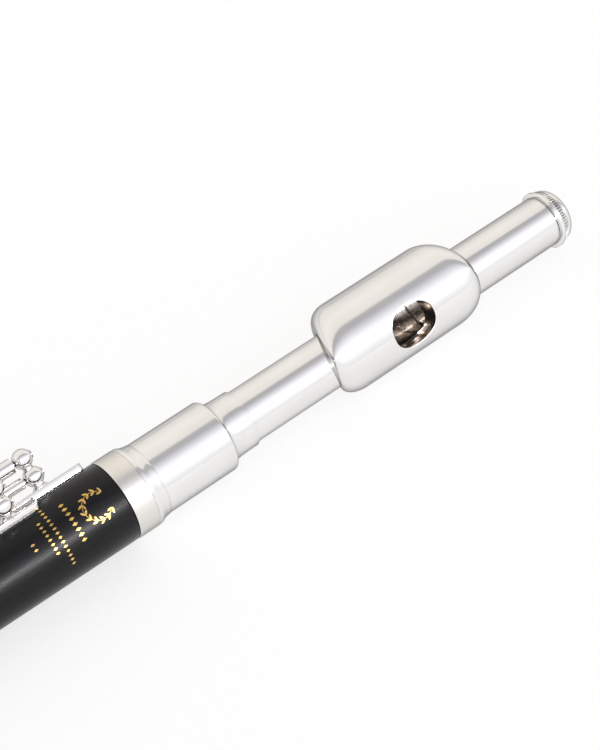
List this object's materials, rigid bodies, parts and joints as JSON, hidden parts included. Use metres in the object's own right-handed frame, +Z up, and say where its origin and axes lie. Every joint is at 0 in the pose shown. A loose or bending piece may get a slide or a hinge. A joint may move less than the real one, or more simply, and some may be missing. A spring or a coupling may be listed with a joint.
{
  "type": "piccolo flute",
  "caption": "Small transverse flute: plated headjoint with lip plate and crown, black tapered body, sprung keys with padded cups on long rods, posts and straps.",
  "frame": {"origin": "on the floor under the middle of the bounding box, with the instrument lying at rest on its lip plate, thumb cup and foot ring", "axes": "+X along the bore towards the crown (0.25 degrees above the floor), +Z up, with the finger cups on top and turned 40 degrees towards -Y; the key rods are on the +Y side"},
  "size_m": [0.3138, 0.0272, 0.0307],
  "materials": {
    "silver": "polished silver plate",
    "satin_silver": "satin turned plate",
    "steel": "ground steel",
    "resin": "satin black moulded resin",
    "cork": "natural cork, waxed",
    "pad": "pale skin over felt"
  },
  "bodies": {
    "body": {"body_tube": "resin", "body_ring": "satin_silver", "tenon_cork": "cork", "foot_ring": "silver", "main_strap": "silver", "back_strap": "silver", "thumb_strap": "silver", "main_steel": "steel", "upper_steel": "steel", "outer_trill_steel": "steel", "inner_trill_steel": "steel", "thumb_steel": "steel", "main_strap_screw_1": "steel", "main_strap_screw_2": "steel", "back_strap_screw_3": "steel", "back_strap_screw_4": "steel", "thumb_strap_screw_5": "steel"},
    "socket": {"neck_ring": "silver", "socket_sleeve": "silver", "socket_mouth_ring": "silver"},
    "head": {"head_tube": "silver", "lip_plate": "silver", "embouchure_riser": "silver"},
    "crown": {"crown": "silver"},
    "stopper": {"stopper_screw": "steel", "stopper_cork": "cork", "stopper_washer": "steel", "stopper_nut": "steel"},
    "c_sharp_lever": {"c_sharp_key": "silver", "c_sharp_pad": "pad"},
    "c_lever": {"c_key": "silver", "c_pad": "pad"},
    "thumb_lever": {"thumb_key": "silver", "thumb_pad": "pad"},
    "b_lever": {"b_key": "silver", "b_pad": "pad"},
    "b_flat_lever": {"b_flat_key": "silver", "b_flat_pad": "pad"},
    "a_lever": {"a_key": "silver", "a_pad": "pad"},
    "g_sharp_lever": {"g_sharp_key": "silver", "g_sharp_pad": "pad"},
    "g_lever": {"g_key": "silver", "g_pad": "pad"},
    "f_sharp_lever": {"f_sharp_key": "silver", "f_sharp_pad": "pad"},
    "f_lever": {"f_key": "silver", "f_pad": "pad"},
    "e_lever": {"e_key": "silver", "e_pad": "pad"},
    "d_sharp_lever": {"d_sharp_key": "silver", "d_sharp_pad": "pad"},
    "d_trill_lever": {"d_trill_key": "silver", "d_trill_pad": "pad"},
    "d_sharp_trill_lever": {"d_sharp_trill_key": "silver", "d_sharp_trill_pad": "pad"}
  },
  "joints": [
    {"name": "head_slide", "type": "slide", "parent": "body", "child": "socket", "axis": [1, 0, 0.0044], "range_m": [0, 0.012]},
    {"name": "head_turn", "type": "hinge", "parent": "socket", "child": "head", "pos_m": [0.06417, -0.00157, 0.00925], "axis": [1, 0, 0.0044], "continuous": true},
    {"name": "crown_turn", "type": "hinge", "parent": "head", "child": "crown", "pos_m": [0.15117, -0.00157, 0.00963], "axis": [1, 0, 0.0044], "range_deg": [-360, 360]},
    {"name": "stopper_slide", "type": "slide", "parent": "head", "child": "stopper", "axis": [1, 0, 0.0044], "range_m": [-0.0007, 0.0007]},
    {"name": "c_sharp_press", "type": "hinge", "parent": "body", "child": "c_sharp_lever", "pos_m": [-0.0104, 0.00431, 0.02508], "axis": [1, 0, 0.0044], "range_deg": [0, 8], "stiffness_Nm_per_rad": 0.01, "springref_deg": -20.05},
    {"name": "c_press", "type": "hinge", "parent": "body", "child": "c_lever", "pos_m": [-0.01039, 0.00287, 0.02114], "axis": [1, 0, 0.0044], "range_deg": [0, 8], "stiffness_Nm_per_rad": 0.01, "springref_deg": -20.05},
    {"name": "thumb_press", "type": "hinge", "parent": "body", "child": "thumb_lever", "pos_m": [-0.03835, 0.00977, 0.01205], "axis": [1, 0, 0.0044], "range_deg": [-12, 0], "stiffness_Nm_per_rad": 0.024, "springref_deg": 20.05},
    {"name": "b_press", "type": "hinge", "parent": "body", "child": "b_lever", "pos_m": [-0.04378, 0.00287, 0.02099], "axis": [1, 0, 0.0044], "range_deg": [0, 8], "stiffness_Nm_per_rad": 0.01, "springref_deg": -20.05},
    {"name": "b_flat_press", "type": "hinge", "parent": "body", "child": "b_flat_lever", "pos_m": [-0.05688, 0.00287, 0.02093], "axis": [1, 0, 0.0044], "range_deg": [0, 8], "stiffness_Nm_per_rad": 0.01, "springref_deg": -20.05},
    {"name": "a_press", "type": "hinge", "parent": "body", "child": "a_lever", "pos_m": [-0.06689, 0.00287, 0.02089], "axis": [1, 0, 0.0044], "range_deg": [0, 8], "stiffness_Nm_per_rad": 0.01, "springref_deg": -20.05},
    {"name": "g_sharp_press", "type": "hinge", "parent": "body", "child": "g_sharp_lever", "pos_m": [-0.07663, 0.00287, 0.02085], "axis": [1, 0, 0.0044], "range_deg": [-10, 0], "stiffness_Nm_per_rad": 0.01, "springref_deg": 20.05},
    {"name": "g_press", "type": "hinge", "parent": "body", "child": "g_lever", "pos_m": [-0.08873, 0.00287, 0.0208], "axis": [1, 0, 0.0044], "range_deg": [0, 8], "stiffness_Nm_per_rad": 0.01, "springref_deg": -20.05},
    {"name": "f_sharp_press", "type": "hinge", "parent": "body", "child": "f_sharp_lever", "pos_m": [-0.09968, 0.00287, 0.02075], "axis": [1, 0, 0.0044], "range_deg": [0, 8], "stiffness_Nm_per_rad": 0.01, "springref_deg": -20.05},
    {"name": "f_press", "type": "hinge", "parent": "body", "child": "f_lever", "pos_m": [-0.11173, 0.00287, 0.0207], "axis": [1, 0, 0.0044], "range_deg": [0, 8], "stiffness_Nm_per_rad": 0.01, "springref_deg": -20.05},
    {"name": "e_press", "type": "hinge", "parent": "body", "child": "e_lever", "pos_m": [-0.12438, 0.00287, 0.02064], "axis": [1, 0, 0.0044], "range_deg": [0, 8], "stiffness_Nm_per_rad": 0.01, "springref_deg": -20.05},
    {"name": "d_sharp_press", "type": "hinge", "parent": "body", "child": "d_sharp_lever", "pos_m": [-0.13673, 0.00287, 0.02059], "axis": [1, 0, 0.0044], "range_deg": [-10, 0], "stiffness_Nm_per_rad": 0.01, "springref_deg": 20.05},
    {"name": "d_trill_press", "type": "hinge", "parent": "body", "child": "d_trill_lever", "pos_m": [-0.05642, 0.00838, 0.01708], "axis": [1, 0, 0.0044], "range_deg": [0, 13], "stiffness_Nm_per_rad": 0.01, "springref_deg": -20.05},
    {"name": "d_sharp_trill_press", "type": "hinge", "parent": "body", "child": "d_sharp_trill_lever", "pos_m": [-0.05643, 0.01153, 0.01971], "axis": [1, 0, 0.0044], "range_deg": [0, 10], "stiffness_Nm_per_rad": 0.01, "springref_deg": -20.05}
  ],
  "couplings": [
    {"joint": "crown_turn", "follows": "stopper_slide", "rad_per_m": -8976},
    {"joint": "b_flat_press", "follows": "a_press", "ratio": 1},
    {"joint": "f_sharp_press", "follows": "f_press", "ratio": 1}
  ]
}
